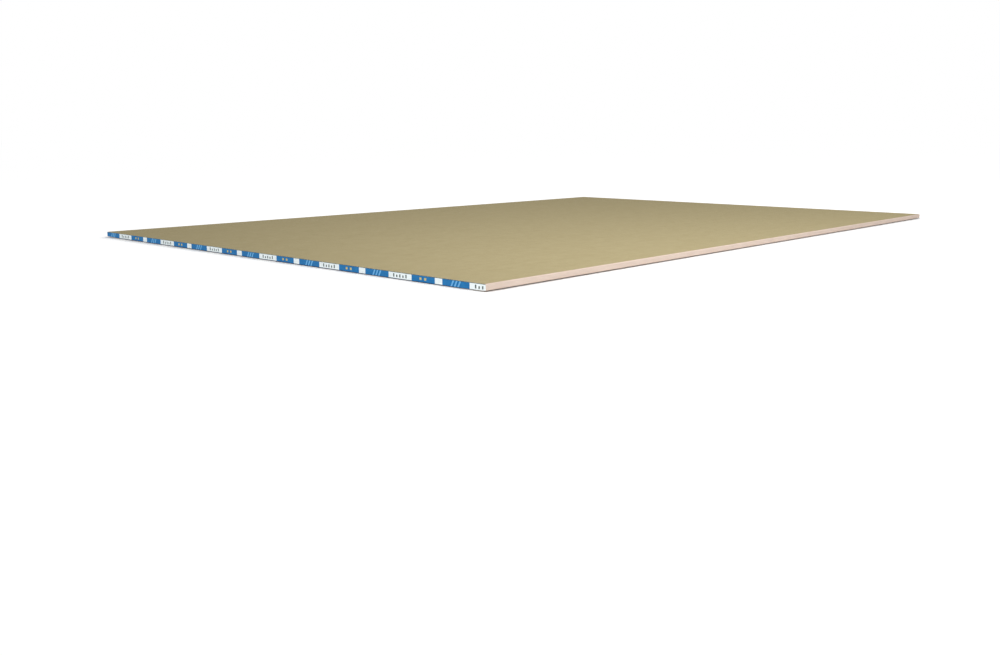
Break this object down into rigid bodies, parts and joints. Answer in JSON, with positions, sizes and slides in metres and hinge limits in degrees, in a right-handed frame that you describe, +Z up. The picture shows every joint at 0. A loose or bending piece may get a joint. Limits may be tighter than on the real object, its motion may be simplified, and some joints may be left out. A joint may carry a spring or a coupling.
{
  "type": "drywall sheet",
  "caption": "Flat rectangular gypsum drywall sheet with tapered, paper-wrapped long edges and square-cut ends, each covered by a strip of printed paper tape.",
  "frame": {"origin": "centre of the sheet's underside, on the floor it lies on", "axes": "+Z up, out of the brown back; +Y along the sheet's length, away from the front end tape; +X across the width"},
  "size_m": [1.2192, 1.8294, 0.0127],
  "materials": {
    "board_paper": "matte brown back paper, pinkish beige face paper round the long edges and underneath",
    "tape_paper": "matte paper printed in blue and white blocks"
  },
  "bodies": {
    "root": {"drywall_sheet": "board_paper", "front_end_tape": "tape_paper", "back_end_tape": "tape_paper"}
  },
  "joints": []
}
